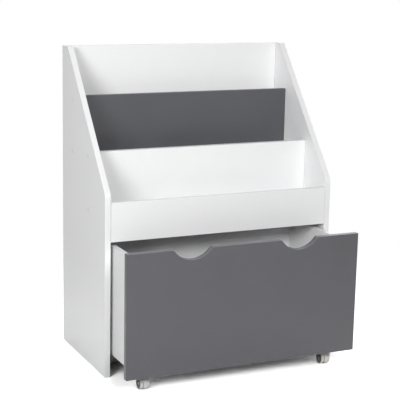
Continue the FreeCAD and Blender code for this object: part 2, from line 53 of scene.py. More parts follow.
FAR_AHEAD = (0, -9, 0)
KNEE = Vector((0, -88.75, 466)) * MM
SLOPE_NORMAL = Vector((0, 334, -280)).normalized()


def put(tree, kind, inputs=None, **settings):
    """A node with its settings; each input is given a value or joined to another node's output."""
    node = tree.nodes.new(kind)
    for name, value in settings.items():
        setattr(node, name, value)
    for name, value in (inputs or {}).items():
        if isinstance(value, bpy.types.NodeSocket):
            tree.links.new(value, node.inputs[name])
        else:
            node.inputs[name].default_value = value
    return node


def new_group(name, kind, inputs, outputs):
    """An empty node group with named sockets, and its two end nodes."""
    group = bpy.data.node_groups.new(name, kind)
    for label, socket_type, value in inputs:
        socket = group.interface.new_socket(label, in_out="INPUT", socket_type=socket_type)
        if value is not None:
            socket.default_value = value
    for label, socket_type in outputs:
        group.interface.new_socket(label, in_out="OUTPUT", socket_type=socket_type)
    return group, group.nodes.new("NodeGroupInput"), group.nodes.new("NodeGroupOutput")


def foil_skin():
    """Pressed melamine foil: faint orange peel, fine pores and slow changes in shade and gloss."""
    group, given, result = new_group("foil_skin", "ShaderNodeTree", [
        ("Peel Scale", "NodeSocketFloat", 420.0),
        ("Pore Scale", "NodeSocketFloat", 2400.0),
        ("Mottle", "NodeSocketFloat", 0.03),
        ("Gloss Low", "NodeSocketFloat", SATIN[0]),
        ("Gloss High", "NodeSocketFloat", SATIN[1]),
    ], [("Shade", "NodeSocketFloat"), ("Roughness", "NodeSocketFloat"), ("Height", "NodeSocketFloat")])
    place = put(group, "ShaderNodeTexCoord").outputs["Object"]
    peel = put(group, "ShaderNodeTexNoise", {"Vector": place, "Scale": given.outputs["Peel Scale"], "Detail": 2.0})
    pores = put(group, "ShaderNodeTexNoise", {"Vector": place, "Scale": given.outputs["Pore Scale"], "Detail": 3.0})
    slow = put(group, "ShaderNodeTexNoise", {"Vector": place, "Scale": 11.0, "Detail": 5.0, "Roughness": 0.6})
    height = put(group, "ShaderNodeMix", {"Factor": 0.35, "A": peel.outputs["Fac"], "B": pores.outputs["Fac"]})
    gloss = put(group, "ShaderNodeMapRange", {
        "Value": slow.outputs["Fac"], "From Min": NOISE_LOW, "From Max": NOISE_HIGH,
        "To Min": given.outputs["Gloss Low"], "To Max": given.outputs["Gloss High"]})
    lift = put(group, "ShaderNodeMath", {0: slow.outputs["Fac"], 1: 0.5}, operation="SUBTRACT")
    shade = put(group, "ShaderNodeMath", {0: lift.outputs[0], 1: given.outputs["Mottle"], 2: 1.0},
                operation="MULTIPLY_ADD")
    group.links.new(shade.outputs[0], result.inputs["Shade"])
    group.links.new(gloss.outputs["Result"], result.inputs["Roughness"])
    group.links.new(height.outputs["Result"], result.inputs["Height"])
    return group


def arris_line():
    """Masks of a board's edges, where two of its faces meet, and of its ends, where it butts against the sides."""
    group, given, result = new_group("arris_line", "ShaderNodeTree", [
        ("Low", "NodeSocketVector", None),
        ("High", "NodeSocketVector", None),
        ("Slope Point", "NodeSocketVector", FAR_AHEAD),
        ("Slope Normal", "NodeSocketVector", (0, 1, 0)),
        ("Width", "NodeSocketFloat", 1.4 * MM),
        ("Wear Scale", "NodeSocketFloat", 60.0),
    ], [("Mask", "NodeSocketFloat"), ("Ends", "NodeSocketFloat")])
    place = put(group, "ShaderNodeTexCoord").outputs["Object"]
    from_low = put(group, "ShaderNodeVectorMath", {0: place, 1: given.outputs["Low"]}, operation="SUBTRACT")
    from_high = put(group, "ShaderNodeVectorMath", {0: given.outputs["High"], 1: place}, operation="SUBTRACT")
    nearest = put(group, "ShaderNodeVectorMath", {0: from_low.outputs[0], 1: from_high.outputs[0]},
                  operation="MINIMUM")
    from_slope = put(group, "ShaderNodeVectorMath", {0: place, 1: given.outputs["Slope Point"]}, operation="SUBTRACT")
    along_slope = put(group, "ShaderNodeVectorMath", {0: from_slope.outputs[0], 1: given.outputs["Slope Normal"]},
                      operation="DOT_PRODUCT")
    apart = put(group, "ShaderNodeSeparateXYZ", {0: nearest.outputs[0]})
    depth = put(group, "ShaderNodeMath", {0: apart.outputs["Y"], 1: along_slope.outputs["Value"]}, operation="MINIMUM")
    touches = []
    for distance in (apart.outputs["X"], depth.outputs[0], apart.outputs["Z"]):
        touch = put(group, "ShaderNodeMapRange", {
            "Value": distance, "From Min": 0.0, "From Max": given.outputs["Width"], "To Min": 1.0, "To Max": 0.0},
            interpolation_type="SMOOTHSTEP")
        touches.append(touch.outputs["Result"])
    pairs = [put(group, "ShaderNodeMath", {0: touches[i], 1: touches[(i + 1) % 3]}, operation="MULTIPLY")
             for i in range(3)]
    two = put(group, "ShaderNodeMath", {0: pairs[0].outputs[0], 1: pairs[1].outputs[0]}, operation="MAXIMUM")
    edge = put(group, "ShaderNodeMath", {0: two.outputs[0], 1: pairs[2].outputs[0]}, operation="MAXIMUM")
    patches = put(group, "ShaderNodeTexNoise", {"Vector": place, "Scale": given.outputs["Wear Scale"], "Detail": 3.0})
    worn = put(group, "ShaderNodeMapRange", {
        "Value": patches.outputs["Fac"], "From Min": NOISE_LOW, "From Max": NOISE_HIGH, "To Min": 0.45, "To Max": 1.0})
    mask = put(group, "ShaderNodeMath", {0: edge.outputs[0], 1: worn.outputs["Result"]}, operation="MULTIPLY")
    group.links.new(mask.outputs[0], result.inputs["Mask"])
    group.links.new(touches[0], result.inputs["Ends"])
    return group


FOIL_SKIN = foil_skin()
ARRIS_LINE = arris_line()


def blend(tree, mask, first, second):
    """The first colour, or the second where the mask is 1. A Mix node keeps its colours in sockets 6, 7 and 2."""
    return put(tree, "ShaderNodeMix", {"Factor": mask, 6: first, 7: second}, data_type="RGBA").outputs[2]


def lay_skin(tree, skin, tint, bump, depth):
    """Joins a tint and a skin's shade, gloss and relief to a material's shader."""
    shader = tree.nodes["Principled BSDF"]
    shaded = put(tree, "ShaderNodeVectorMath", {0: tint, "Scale": skin.outputs["Shade"]}, operation="SCALE")
    relief = put(tree, "ShaderNodeBump", {"Strength": bump, "Distance": depth, "Height": skin.outputs["Height"]})
    tree.links.new(shaded.outputs[0], shader.inputs["Base Color"])
    tree.links.new(skin.outputs["Roughness"], shader.inputs["Roughness"])
    tree.links.new(relief.outputs["Normal"], shader.inputs["Normal"])


def dress(node, material):
    """Gives a CAD node one material all over."""
    nodes[node].data.materials.clear()
    nodes[node].data.materials.append(material)


def coated_board(node, colour, edge_colour, bump=0.05, slope=None, gloss=SATIN, mottle=0.03, cut_edges=None,
                 painted_end_shade=None):
    """Gives a board its foil, with another colour along its edges found from its corners in the CAD model."""
    material = bpy.data.materials.new(node + "_foil")
    material.use_nodes = True
    tree = material.node_tree
    low, high = (Vector(corner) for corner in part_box(node))
    skin = put(tree, "ShaderNodeGroup", {"Gloss Low": gloss[0], "Gloss High": gloss[1], "Mottle": mottle},
               node_tree=FOIL_SKIN)
    line = put(tree, "ShaderNodeGroup", {"Low": low, "High": high, **(slope or {})}, node_tree=ARRIS_LINE)
    # Edge colour: worn banding, and painted highlight where it is lighter than the foil, as on the grey boards and
    # notch rims.
    edges = line.outputs["Mask"]
    if cut_edges:
        cut = put(tree, "ShaderNodeGroup", {"Front": low.y, "Rear": high.y}, node_tree=cut_edges)
        edges = put(tree, "ShaderNodeMath", {0: edges, 1: cut.outputs["Mask"]}, operation="MAXIMUM").outputs[0]
    tint = blend(tree, edges, colour, edge_colour)
    # Painted shade: a darker colour on the board's ends and on a narrow strip of its faces beside them.
    if painted_end_shade:
        tint = blend(tree, line.outputs["Ends"], tint, painted_end_shade)
    lay_skin(tree, skin, tint, bump, FOIL_RELIEF)
    dress(node, material)


for side in ("left_side_panel", "right_side_panel"):
    coated_board(side, WHITE, WHITE_EDGE, slope={"Slope Point": KNEE, "Slope Normal": SLOPE_NORMAL})

# Back panel: white coated board between the sides, with a thin hardboard panel in grooves below it, behind the
# drawer. The hardboard is lacquered on the side that shows and a little duller.
# Painted shade: a darker grey on the ends of boards that butt against the sides and on a narrow strip beside them.
JOINT_PAINTED_SHADE = (0.42, 0.42, 0.42, 1)
HARDBOARD_WHITE = (0.82, 0.82, 0.81, 1)
HARDBOARD_EDGE = (0.42, 0.33, 0.24, 1)
DULL = (0.5, 0.62)
coated_board("back_panel", WHITE, WHITE_EDGE, painted_end_shade=JOINT_PAINTED_SHADE)
coated_board("lower_back_panel", HARDBOARD_WHITE, HARDBOARD_EDGE, bump=0.12, gloss=DULL)

# Tiers: an upright front and a floor each, white coated board glued and bolted between the sides. The front of the top
# tier is dark grey, foil and edge band alike, with a lighter grey along its edges that is partly wear and partly
# painted highlight.
DARK_GREY = (0.078, 0.079, 0.088, 1)
# Lighter grey along the edges of the top tier's front: partly wear, partly painted highlight.
DARK_GREY_EDGE_WEAR_AND_HIGHLIGHT = (0.16, 0.162, 0.168, 1)
# The white tier boards get painted shade on their ends, where they butt against the sides.
for board in ("middle_tier_front", "lower_tier_front", "top_tier_floor", "middle_tier_floor", "lower_tier_floor"):
    coated_board(board, WHITE, WHITE_EDGE, painted_end_shade=JOINT_PAINTED_SHADE)
coated_board("top_tier_front", DARK_GREY, DARK_GREY_EDGE_WEAR_AND_HIGHLIGHT, mottle=0.12)

# Fixings of the carcass: zinc-plated connector screws under white plastic caps, cam bolts drawn tight by cast zinc
# discs, and beech dowels. Each sits in its bore, and only the caps and the faces of the discs show.
CAP_WHITE = (0.8, 0.8, 0.8, 1)
ZINC = (0.6, 0.61, 0.63, 1)
CAST = (0.42, 0.42, 0.43, 1)
BEECH_BROWN = (0.58, 0.4, 0.24, 1)
GRAIN_RELIEF = 0.2 * MM
HEAD_SIDES, SHANK_SIDES = 40, 32
FLAT_FACE = 0.9
CAP = {"Outer Diameter": 13 * MM, "Crown Diameter": 12 * MM, "Head Height": 0.5 * MM, "Shank Diameter": 4 * MM,
       "Shank Length": 0.3 * MM, "Recessed": False}
DISC = {"Outer Diameter": 14.8 * MM, "Crown Diameter": 14 * MM, "Head Height": 1.4 * MM, "Shank Diameter": 14.8 * MM,
        "Shank Length": 7.4 * MM, "Recess Length": 8 * MM, "Recess Width": 1.6 * MM, "Recess Depth": 1.1 * MM,
        "Recessed": True}


def fine_grain():
    """Small-scale relief and uneven gloss of cast, plated and moulded pieces."""
    group, given, result = new_group("fine_grain", "ShaderNodeTree", [
        ("Scale", "NodeSocketFloat", 900.0),
        ("Stretch", "NodeSocketVector", (1, 1, 1)),
        ("Gloss Low", "NodeSocketFloat", 0.3),
        ("Gloss High", "NodeSocketFloat", 0.5),
        ("Mottle", "NodeSocketFloat", 0.1),
    ], [("Shade", "NodeSocketFloat"), ("Roughness", "NodeSocketFloat"), ("Height", "NodeSocketFloat")])
    place = put(group, "ShaderNodeTexCoord").outputs["Object"]
    drawn = put(group, "ShaderNodeVectorMath", {0: place, 1: given.outputs["Stretch"]}, operation="MULTIPLY")
    grain = put(group, "ShaderNodeTexNoise", {
        "Vector": drawn.outputs[0], "Scale": given.outputs["Scale"], "Detail": 4.0, "Roughness": 0.65})
    patch = put(group, "ShaderNodeTexNoise", {"Vector": drawn.outputs[0], "Scale": 140.0, "Detail": 3.0})
    gloss = put(group, "ShaderNodeMapRange", {
        "Value": patch.outputs["Fac"], "From Min": NOISE_LOW, "From Max": NOISE_HIGH,
        "To Min": given.outputs["Gloss Low"], "To Max": given.outputs["Gloss High"]})
    both = put(group, "ShaderNodeMath", {0: grain.outputs["Fac"], 1: patch.outputs["Fac"]}, operation="ADD")
    lift = put(group, "ShaderNodeMath", {0: both.outputs[0], 1: 1.0}, operation="SUBTRACT")
    shade = put(group, "ShaderNodeMath", {0: lift.outputs[0], 1: given.outputs["Mottle"], 2: 1.0},
                operation="MULTIPLY_ADD")
    group.links.new(shade.outputs[0], result.inputs["Shade"])
    group.links.new(gloss.outputs["Result"], result.inputs["Roughness"])
    group.links.new(grain.outputs["Fac"], result.inputs["Height"])
    return group


FINE_GRAIN = fine_grain()


def grained(name, colour, gloss, bump, metallic=0.0, painted_shade=None, **grain):
    """A metal, plastic or bare wood that follows its fine grain; painted shade, if given, is a mask group, its centre
    and its colour.
    """
    material = bpy.data.materials.new(name)
    material.use_nodes = True
    tree = material.node_tree
    tree.nodes["Principled BSDF"].inputs["Metallic"].default_value = metallic
    values = {label.title(): value for label, value in grain.items()}
    skin = put(tree, "ShaderNodeGroup", {"Gloss Low": gloss[0], "Gloss High": gloss[1], **values},
               node_tree=FINE_GRAIN)
    tint = colour[:3]
    if painted_shade:
        shape, centre, shade = painted_shade
        inside = put(tree, "ShaderNodeGroup", {"Centre": centre}, node_tree=shape)
        tint = blend(tree, inside.outputs["Mask"], colour, shade)
    lay_skin(tree, skin, tint, bump, GRAIN_RELIEF)
    return material


def turned_fasteners():
    """One turned piece on each point: a tapered head with a crossed driver recess, and its shank."""
    tree, given, result = new_group("turned_fasteners", "GeometryNodeTree", [
        ("Geometry", "NodeSocketGeometry", None),
        ("Outer Diameter", "NodeSocketFloat", 7 * MM),
        ("Crown Diameter", "NodeSocketFloat", 6 * MM),
        ("Head Height", "NodeSocketFloat", 2 * MM),
        ("Shank Diameter", "NodeSocketFloat", 3 * MM),
        ("Shank Length", "NodeSocketFloat", 10 * MM),
        ("Recess Length", "NodeSocketFloat", 4 * MM),
        ("Recess Width", "NodeSocketFloat", 1 * MM),
        ("Recess Depth", "NodeSocketFloat", 1 * MM),
        ("Recessed", "NodeSocketBool", True),
        ("Seed", "NodeSocketInt", 3),
        ("Material", "NodeSocketMaterial", None),
    ], [("Geometry", "NodeSocketGeometry")])
    size = given.outputs
    radii = {label: put(tree, "ShaderNodeMath", {0: size[label], 1: 0.5}, operation="MULTIPLY").outputs[0]
             for label in ("Outer Diameter", "Crown Diameter", "Shank Diameter")}
    head = put(tree, "GeometryNodeMeshCone", {
        "Vertices": HEAD_SIDES, "Radius Top": radii["Crown Diameter"], "Radius Bottom": radii["Outer Diameter"],
        "Depth": size["Head Height"]})
    shank = put(tree, "GeometryNodeMeshCylinder", {
        "Vertices": SHANK_SIDES, "Radius": radii["Shank Diameter"], "Depth": size["Shank Length"]})
    sunk = put(tree, "ShaderNodeMath", {0: size["Shank Length"], 1: -0.5}, operation="MULTIPLY")
    down = put(tree, "ShaderNodeCombineXYZ", {"Z": sunk.outputs[0]})
    shank_in = put(tree, "GeometryNodeTransform", {"Geometry": shank.outputs["Mesh"], "Translation": down.outputs[0]})
    deep = put(tree, "ShaderNodeMath", {0: size["Recess Depth"], 1: 2.0}, operation="MULTIPLY")
    slot = put(tree, "ShaderNodeCombineXYZ", {
        "X": size["Recess Length"], "Y": size["Recess Width"], "Z": deep.outputs[0]})
    cutter = put(tree, "GeometryNodeMeshCube", {"Size": slot.outputs[0]})
    top = put(tree, "ShaderNodeCombineXYZ", {"Z": size["Head Height"]})
    arms = [put(tree, "GeometryNodeTransform", {
        "Geometry": cutter.outputs["Mesh"], "Translation": top.outputs[0], "Rotation": (0, 0, turn)})
        for turn in (0, math.pi / 2)]
    recessed = put(tree, "GeometryNodeMeshBoolean", {"Mesh 1": head.outputs["Mesh"]}, operation="DIFFERENCE")
    for arm in arms:
        tree.links.new(arm.outputs["Geometry"], recessed.inputs["Mesh 2"])
    choice = put(tree, "GeometryNodeSwitch", {
        "Switch": size["Recessed"], "False": head.outputs["Mesh"], "True": recessed.outputs["Mesh"]},
        input_type="GEOMETRY")
    piece = put(tree, "GeometryNodeJoinGeometry")
    for part in (choice.outputs["Output"], shank_in.outputs["Geometry"]):
        tree.links.new(part, piece.inputs["Geometry"])
    facing = put(tree, "ShaderNodeSeparateXYZ", {0: put(tree, "GeometryNodeInputNormal").outputs["Normal"]})
    flat = put(tree, "ShaderNodeMath", {0: facing.outputs["Z"]}, operation="ABSOLUTE")
    round_side = put(tree, "FunctionNodeCompare", {"A": flat.outputs[0], "B": FLAT_FACE}, operation="LESS_THAN")
    smooth = put(tree, "GeometryNodeSetShadeSmooth", {
        "Geometry": piece.outputs["Geometry"], "Selection": round_side.outputs["Result"]})
    aim = put(tree, "GeometryNodeInputNamedAttribute", {"Name": "aim"}, data_type="FLOAT_VECTOR")
    towards = put(tree, "FunctionNodeAlignRotationToVector", {"Vector": aim.outputs["Attribute"]}, axis="Z")
    turn = put(tree, "FunctionNodeRandomValue", {"Max": 2 * math.pi, "Seed": size["Seed"]}, data_type="FLOAT")
    spin = put(tree, "FunctionNodeAxisAngleToRotation", {"Angle": turn.outputs["Value"]})
    rotation = put(tree, "FunctionNodeRotateRotation", {
        "Rotation": towards.outputs["Rotation"], "Rotate By": spin.outputs["Rotation"]}, rotation_space="LOCAL")
    placed = put(tree, "GeometryNodeInstanceOnPoints", {
        "Points": size["Geometry"], "Instance": smooth.outputs["Geometry"], "Rotation": rotation.outputs["Rotation"]})
    real = put(tree, "GeometryNodeRealizeInstances", {"Geometry": placed.outputs["Instances"]})
    coated = put(tree, "GeometryNodeSetMaterial", {"Geometry": real.outputs["Geometry"], "Material": size["Material"]})
    tree.links.new(coated.outputs["Geometry"], result.inputs["Geometry"])
    return tree


TURNED_FASTENERS = turned_fasteners()


def solids_of(node):
    """The lowest and highest corners of each separate solid in a CAD node, in the order of their places."""
    mesh = bmesh.new()
    mesh.from_mesh(nodes[node].data)
    bmesh.ops.remove_doubles(mesh, verts=mesh.verts, dist=0.001 * MM)
    boxes = []
    left = set(mesh.verts)
    while left:
        edge = {left.pop()}
        island = set(edge)
        while edge:
            edge = {link.other_vert(vert) for vert in edge for link in vert.link_edges} - island
            island |= edge
        left -= island
        points = [vert.co for vert in island]
        boxes.append(tuple(Vector([pick(point[axis] for point in points) for axis in range(3)])
                           for pick in (min, max)))
    mesh.free()
    return sorted(boxes, key=lambda box: [round(step / MM, 1) for step in box[0] + box[1]])


def grow(name, tree, points, aims, values):
    """Runs a geometry tree on aimed points and keeps its result as a plain mesh."""
    mesh = bpy.data.meshes.new(name + "_points")
    mesh.from_pydata(points, [], [])
    aim = mesh.attributes.new("aim", "FLOAT_VECTOR", "POINT")
    aim.data.foreach_set("vector", [step for direction in aims for step in direction])
    piece = bpy.data.objects.new(name, mesh)
    bpy.context.collection.objects.link(piece)
    modifier = piece.modifiers.new(name, "NODES")
    modifier.node_group = tree
    for item in tree.interface.items_tree:
        if item.in_out == "INPUT" and item.name in values:
            modifier[item.identifier] = values[item.name]
    made = bpy.data.meshes.new_from_object(piece.evaluated_get(bpy.context.evaluated_depsgraph_get()))
    piece.modifiers.remove(modifier)
    piece.data = made
    return piece


def fasten(node, body, aim_of, values, material):
    """Replaces a CAD node's plain fixings by turned ones whose heads end where the CAD's end."""
    points, aims = [], []
    for low, high in solids_of(node):
        aim = Vector(aim_of(low, high))
        outer = (low + high) / 2 + aim * abs((high - low).dot(aim)) / 2
        points.append(outer - aim * values["Head Height"])
        aims.append(aim)
    piece = grow(node + "_turned", TURNED_FASTENERS, points, aims, {**values, "Material": material})
    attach(piece, body)
    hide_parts(node)


def outward(low, high):
    """Away from the middle, to the left or to the right."""
    return (math.copysign(1, low.x + high.x), 0, 0)


def disc_face(low, high):
    """Discs in the floors show from below, discs in upright boards from behind."""
    thin_up = high.z - low.z < high.y - low.y
    return (0, 0, -1) if thin_up else (0, 1, 0)


CAP_PLASTIC = grained("cap_plastic", CAP_WHITE, gloss=(0.45, 0.6), bump=0.08, mottle=0.04)
ZINC_PLATE = grained("zinc_plate", ZINC, gloss=(0.24, 0.42), bump=0.1, metallic=1.0, mottle=0.12)
CAST_ZINC = grained("cast_zinc", CAST, gloss=(0.42, 0.6), bump=0.25, metallic=1.0, scale=1600.0, mottle=0.2)
BEECH = grained("beech", BEECH_BROWN, gloss=(0.55, 0.7), bump=0.3, stretch=(0.06, 1, 1), scale=1500.0, mottle=0.4)
for side in ("left", "right"):
    fasten(f"{side}_screw_caps", "carcass", outward, CAP, CAP_PLASTIC)
    dress(f"{side}_side_screws", ZINC_PLATE)
fasten("cam_discs", "carcass", disc_face, DISC, CAST_ZINC)
dress("cam_bolts", ZINC_PLATE)
dress("carcass_dowels", BEECH)

# Drawer box: 12 mm white coated boards, the back and the bottom screwed between the sides with cross-recess wood
# screws that sit flush in the outer faces.
DRAWER_WHITE = (0.85, 0.852, 0.856, 1)
WOOD_SCREW = {"Outer Diameter": 7 * MM, "Crown Diameter": 6.4 * MM, "Head Height": 2.4 * MM,
              "Shank Diameter": 3.6 * MM, "Shank Length": 33.6 * MM, "Recess Length": 4 * MM, "Recess Width": 0.9 * MM,
              "Recess Depth": 1.4 * MM, "Recessed": True}
for board in ("drawer_left_side", "drawer_right_side", "drawer_back", "drawer_bottom"):
    coated_board(board, DRAWER_WHITE, WHITE_EDGE)
fasten("drawer_screws", "drawer", outward, WOOD_SCREW, ZINC_PLATE)

# Drawer front: overlay board in grey foil, routed with two hand notches and banded in the same grey all round. A
# lighter grey along its edges is partly wear and partly painted highlight, the rims of the notches carry painted
# highlight, and its ends a darker grey that is painted shade. Cam bolts and dowels draw it against the ends of the
# drawer sides, with the discs on the inside of the drawer.
GREY = (0.093, 0.093, 0.103, 1)
# Lighter grey along the drawer front's edges and notch rims: partly wear, partly painted highlight.
GREY_EDGE_WEAR_AND_HIGHLIGHT = (0.16, 0.161, 0.172, 1)
# Painted shade: the darker grey on the drawer front's ends and on a narrow strip of its faces beside them.
GREY_END_PAINTED_SHADE = (0.045, 0.045, 0.05, 1)
NOTCH_OFFSET, NOTCH_CENTRE_HEIGHT, NOTCH_RADIUS = 145 * MM, 387 * MM, 60 * MM
DRAWER_DISC = {**DISC, "Shank Length": 6 * MM}


# The notch rims that this mask finds get the lighter edge grey as painted highlight.
def notch_line():
    """Mask of the edges of two round notches in a board, where their wall meets its front and its rear face."""
    group, given, result = new_group("notch_line", "ShaderNodeTree", [
        ("Offset", "NodeSocketFloat", NOTCH_OFFSET),
        ("Centre Height", "NodeSocketFloat", NOTCH_CENTRE_HEIGHT),
        ("Radius", "NodeSocketFloat", NOTCH_RADIUS),
        ("Front", "NodeSocketFloat", 0.0),
        ("Rear", "NodeSocketFloat", 0.0),
        ("Width", "NodeSocketFloat", 1.8 * MM),
    ], [("Mask", "NodeSocketFloat")])
    place = put(group, "ShaderNodeTexCoord").outputs["Object"]
    at = put(group, "ShaderNodeSeparateXYZ", {0: place})
    either = put(group, "ShaderNodeMath", {0: at.outputs["X"]}, operation="ABSOLUTE")
    across = put(group, "ShaderNodeMath", {0: either.outputs[0], 1: given.outputs["Offset"]}, operation="SUBTRACT")
    rise = put(group, "ShaderNodeMath", {0: at.outputs["Z"], 1: given.outputs["Centre Height"]}, operation="SUBTRACT")
    arm = put(group, "ShaderNodeCombineXYZ", {"X": across.outputs[0], "Z": rise.outputs[0]})
    length = put(group, "ShaderNodeVectorMath", {0: arm.outputs[0]}, operation="LENGTH")
    past = put(group, "ShaderNodeMath", {0: length.outputs["Value"], 1: given.outputs["Radius"]}, operation="SUBTRACT")
    ahead = put(group, "ShaderNodeMath", {0: at.outputs["Y"], 1: given.outputs["Front"]}, operation="SUBTRACT")
    behind = put(group, "ShaderNodeMath", {0: given.outputs["Rear"], 1: at.outputs["Y"]}, operation="SUBTRACT")
    skin = put(group, "ShaderNodeMath", {0: ahead.outputs[0], 1: behind.outputs[0]}, operation="MINIMUM")
    touches = [put(group, "ShaderNodeMapRange", {
        "Value": distance.outputs[0], "From Min": 0.0, "From Max": given.outputs["Width"], "To Min": 1.0,
        "To Max": 0.0}, interpolation_type="SMOOTHSTEP") for distance in (past, skin)]
    mask = put(group, "ShaderNodeMath", {0: touches[0].outputs["Result"], 1: touches[1].outputs["Result"]},
               operation="MULTIPLY")
    group.links.new(mask.outputs[0], result.inputs["Mask"])
    return group


def inward(low, high):
    """Towards the middle, from the left or from the right."""
    return (-math.copysign(1, low.x + high.x), 0, 0)


coated_board("drawer_front", GREY, GREY_EDGE_WEAR_AND_HIGHLIGHT, mottle=0.16, cut_edges=notch_line(), painted_end_shade=GREY_END_PAINTED_SHADE)
fasten("drawer_cam_discs", "drawer", inward, DRAWER_DISC, CAST_ZINC)
dress("drawer_cam_bolts", ZINC_PLATE)
dress("drawer_dowels", BEECH)

# Casters: a pressed steel plate screwed under the drawer's bottom, a moulded hood that turns on the plate's pin, and
# two wheels on a steel axle, each a light grey wheel dished and stiffened by ribs, with painted shade on its faces
# inside the tread.
CASTER_GREY = (0.68, 0.67, 0.635, 1)
# Painted shade: the darker grey painted on the wheels' faces inside the tread.
WHEEL_FACE_PAINTED_SHADE = (0.22, 0.218, 0.2, 1)
PLATE_SCREW = {"Outer Diameter": 6.4 * MM, "Crown Diameter": 4.6 * MM, "Head Height": 2 * MM,
               "Shank Diameter": 3.4 * MM, "Shank Length": 9.5 * MM, "Recess Length": 3.4 * MM,
               "Recess Width": 0.8 * MM, "Recess Depth": 1.2 * MM, "Recessed": True}
DISH_DEPTH = 2.5 * MM
RIB_BELOW_RIM = 0.3 * MM
RIBS = {"Count": 8, "Inner Radius": 4.3 * MM, "Outer Radius": 12 * MM, "Thickness": 1.3 * MM,
        "Height": DISH_DEPTH - RIB_BELOW_RIM}


def wheel_ribs():
    """Straight ribs between hub and rim, set round a wheel whose axle lies across the shelf."""
    tree, given, result = new_group("wheel_ribs", "GeometryNodeTree", [
        ("Geometry", "NodeSocketGeometry", None),
        ("Count", "NodeSocketInt", 8),
        ("Inner Radius", "NodeSocketFloat", 4 * MM),
        ("Outer Radius", "NodeSocketFloat", 12 * MM),
        ("Thickness", "NodeSocketFloat", 1 * MM),
        ("Height", "NodeSocketFloat", 2 * MM),
        ("Material", "NodeSocketMaterial", None),
    ], [("Geometry", "NodeSocketGeometry")])
    size = given.outputs
    length = put(tree, "ShaderNodeMath", {0: size["Outer Radius"], 1: size["Inner Radius"]}, operation="SUBTRACT")
    both = put(tree, "ShaderNodeMath", {0: size["Outer Radius"], 1: size["Inner Radius"]}, operation="ADD")
    middle = put(tree, "ShaderNodeMath", {0: both.outputs[0], 1: 0.5}, operation="MULTIPLY")
    ring = put(tree, "GeometryNodeMeshCircle", {"Vertices": size["Count"], "Radius": middle.outputs[0]})
    block = put(tree, "ShaderNodeCombineXYZ", {"X": length.outputs[0], "Y": size["Thickness"], "Z": size["Height"]})
    rib = put(tree, "GeometryNodeMeshCube", {"Size": block.outputs[0]})
    spoke = put(tree, "FunctionNodeAlignRotationToVector", {
        "Vector": put(tree, "GeometryNodeInputPosition").outputs["Position"]}, axis="X", pivot_axis="Z")
    spokes = put(tree, "GeometryNodeInstanceOnPoints", {
        "Points": ring.outputs["Mesh"], "Instance": rib.outputs["Mesh"], "Rotation": spoke.outputs["Rotation"]})
    set_of_ribs = put(tree, "GeometryNodeRealizeInstances", {"Geometry": spokes.outputs["Instances"]})
    aim = put(tree, "GeometryNodeInputNamedAttribute", {"Name": "aim"}, data_type="FLOAT_VECTOR")
    towards = put(tree, "FunctionNodeAlignRotationToVector", {"Vector": aim.outputs["Attribute"]}, axis="Z")
    placed = put(tree, "GeometryNodeInstanceOnPoints", {
        "Points": size["Geometry"], "Instance": set_of_ribs.outputs["Geometry"],
        "Rotation": towards.outputs["Rotation"]})
    real = put(tree, "GeometryNodeRealizeInstances", {"Geometry": placed.outputs["Instances"]})
    coated = put(tree, "GeometryNodeSetMaterial", {"Geometry": real.outputs["Geometry"], "Material": size["Material"]})
    tree.links.new(coated.outputs["Geometry"], result.inputs["Geometry"])
    return tree


def wheel_shade_mask():
    """Mask of what lies inside the tread of a wheel whose axle lies across the shelf."""
    group, given, result = new_group("wheel_shade_mask", "ShaderNodeTree", [
        ("Centre", "NodeSocketVector", None),
        ("Core Radius", "NodeSocketFloat", 13.6 * MM),
        ("Tread Radius", "NodeSocketFloat", 14.8 * MM),
    ], [("Mask", "NodeSocketFloat")])
    place = put(group, "ShaderNodeTexCoord").outputs["Object"]
    arm = put(group, "ShaderNodeVectorMath", {0: place, 1: given.outputs["Centre"]}, operation="SUBTRACT")
    upright = put(group, "ShaderNodeVectorMath", {0: arm.outputs[0], 1: (0, 1, 1)}, operation="MULTIPLY")
    length = put(group, "ShaderNodeVectorMath", {0: upright.outputs[0]}, operation="LENGTH")
    mask = put(group, "ShaderNodeMapRange", {
        "Value": length.outputs["Value"], "From Min": given.outputs["Core Radius"],
        "From Max": given.outputs["Tread Radius"], "To Min": 1.0, "To Max": 0.0}, interpolation_type="SMOOTHSTEP")
    group.links.new(mask.outputs["Result"], result.inputs["Mask"])
    return group


def downward(low, high):
    """Screws in the plates show from below."""
    return (0, 0, -1)


WHEEL_RIBS = wheel_ribs()
WHEEL_SHADE_MASK = wheel_shade_mask()
HOOD_PLASTIC = grained("hood_plastic", CASTER_GREY, gloss=(0.36, 0.5), bump=0.12, mottle=0.06)
for caster in ("front_left", "front_right", "rear_left", "rear_right"):
    dress(f"{caster}_caster_plate", ZINC_PLATE)
    dress(f"{caster}_caster_hood", HOOD_PLASTIC)
    dress(f"{caster}_caster_axle", ZINC_PLATE)
    for side, sign in (("left", -1), ("right", 1)):
        wheel = f"{caster}_caster_{side}_wheel"
        low, high = (Vector(corner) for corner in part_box(wheel))
        middle = (low + high) / 2
        plastic = grained(wheel + "_plastic", CASTER_GREY, gloss=(0.42, 0.58), bump=0.15, mottle=0.08,
                          painted_shade=(WHEEL_SHADE_MASK, middle, WHEEL_FACE_PAINTED_SHADE))
        dress(wheel, plastic)
        outer_face = low.x if sign < 0 else high.x
        seat = Vector((outer_face - sign * (DISH_DEPTH + RIB_BELOW_RIM) / 2, middle.y, middle.z))
        ribs = grow(wheel + "_ribs", WHEEL_RIBS, [seat], [(sign, 0, 0)], {**RIBS, "Material": plastic})
        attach(ribs, f"{caster}_wheel_{side}")
fasten("caster_plate_screws", "drawer", downward, PLATE_SCREW, ZINC_PLATE)

